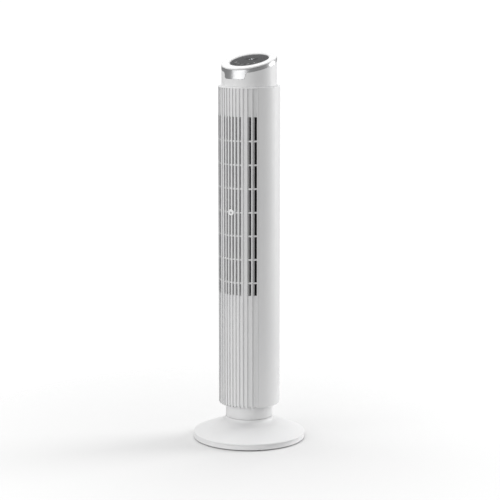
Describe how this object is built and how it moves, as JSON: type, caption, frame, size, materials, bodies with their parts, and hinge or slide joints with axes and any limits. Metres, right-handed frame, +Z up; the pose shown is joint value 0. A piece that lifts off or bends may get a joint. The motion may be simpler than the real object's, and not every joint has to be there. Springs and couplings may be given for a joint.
{
  "type": "tower fan",
  "caption": "Slim white tower fan on a round flared base, with a ribbed column that swings from side to side and a slanted head with a dark control panel.",
  "frame": {"origin": "on the floor under the middle of the round base", "axes": "+Z up the column, -Y out of the air outlet at the front, +X to the fan's left-hand side seen from behind, which is the viewer's right"},
  "size_m": [0.29, 0.29, 1.0038],
  "materials": {
    "white_gloss": "gloss",
    "badge_white": "gloss",
    "chrome_trim": "polished",
    "panel_smoke": "gloss",
    "key_smoke": "satin",
    "display_dark": "gloss",
    "dark_plastic": "matte",
    "white_nylon": "satin",
    "impeller_black": "satin",
    "rubber_black": "matte",
    "wire_black": "satin",
    "steel_zinc": "satin",
    "ballast_iron": "rough",
    "bearing_bronze": "satin",
    "copper_wire": "gloss",
    "board_green": "satin"
  },
  "bodies": {
    "base": {"base_cover": "white_gloss", "base_bottom_plate": "dark_plastic", "rubber_feet": "rubber_black", "base_screws": "steel_zinc", "ballast_ring": "ballast_iron", "bearing_housing": "white_nylon", "housing_screws": "steel_zinc", "thrust_washer": "white_nylon", "oscillation_motor": "steel_zinc", "motor_posts": "dark_plastic", "cord_gland": "rubber_black"},
    "column": {"swivel_hub": "white_nylon", "swivel_gear": "white_nylon", "retaining_nut": "steel_zinc", "neck_collar": "white_gloss", "hub_screws": "steel_zinc", "column_base_plate": "dark_plastic", "front_grille": "white_gloss", "rear_shell": "white_gloss", "rear_grille": "white_gloss", "handle_cup": "white_gloss", "shell_screws": "steel_zinc", "badge": "badge_white", "motor_mount_plate": "steel_zinc", "motor_housing": "steel_zinc", "motor_end_bell": "steel_zinc", "motor_bearings": "bearing_bronze", "stator_core": "steel_zinc", "stator_windings": "copper_wire", "motor_screws": "steel_zinc", "upper_bracket": "dark_plastic", "upper_bearing": "bearing_bronze", "air_guide": "dark_plastic", "vortex_tongue": "dark_plastic", "power_board": "board_green", "board_bracket": "dark_plastic", "motor_capacitor": "dark_plastic", "wiring_harness": "wire_black", "chrome_trim": "chrome_trim", "head_housing": "white_gloss", "head_mount_ring": "dark_plastic", "head_screws": "steel_zinc", "top_ring": "white_gloss", "control_panel": "panel_smoke", "display_window": "display_dark", "panel_tray": "dark_plastic", "control_board": "board_green", "tact_switches": "dark_plastic", "display_module": "display_dark"},
    "pinion": {"drive_pinion": "white_nylon"},
    "impeller": {"impeller_wheel": "impeller_black", "impeller_shaft": "steel_zinc", "motor_rotor": "steel_zinc"},
    "key_power": {"key_power": "key_smoke"},
    "key_speed": {"key_speed": "key_smoke"},
    "key_swing": {"key_swing": "key_smoke"},
    "key_timer": {"key_timer": "key_smoke"},
    "key_mode": {"key_mode": "key_smoke"}
  },
  "joints": [
    {"name": "column_swing", "type": "hinge", "parent": "base", "child": "column", "pos_m": [0, 0, 0.0424], "axis": [0, 0, 1], "range_deg": [-45, 45]},
    {"name": "pinion_spin", "type": "hinge", "parent": "base", "child": "pinion", "pos_m": [0.05625, 0, 0.0424], "axis": [0, 0, 1], "range_deg": [-180, 180]},
    {"name": "impeller_spin", "type": "hinge", "parent": "column", "child": "impeller", "pos_m": [0, 0.006, 0.617], "axis": [0, 0, 1], "continuous": true},
    {"name": "press_power", "type": "slide", "parent": "column", "child": "key_power", "axis": [0, 0.2705, -0.9627], "range_m": [0, 0.0006], "stiffness_N_per_m": 800},
    {"name": "press_speed", "type": "slide", "parent": "column", "child": "key_speed", "axis": [0, 0.2705, -0.9627], "range_m": [0, 0.0006], "stiffness_N_per_m": 800},
    {"name": "press_swing", "type": "slide", "parent": "column", "child": "key_swing", "axis": [0, 0.2705, -0.9627], "range_m": [0, 0.0006], "stiffness_N_per_m": 800},
    {"name": "press_timer", "type": "slide", "parent": "column", "child": "key_timer", "axis": [0, 0.2705, -0.9627], "range_m": [0, 0.0006], "stiffness_N_per_m": 800},
    {"name": "press_mode", "type": "slide", "parent": "column", "child": "key_mode", "axis": [0, 0.2705, -0.9627], "range_m": [0, 0.0006], "stiffness_N_per_m": 800}
  ],
  "couplings": [
    {"joint": "pinion_spin", "follows": "column_swing", "ratio": -4}
  ]
}
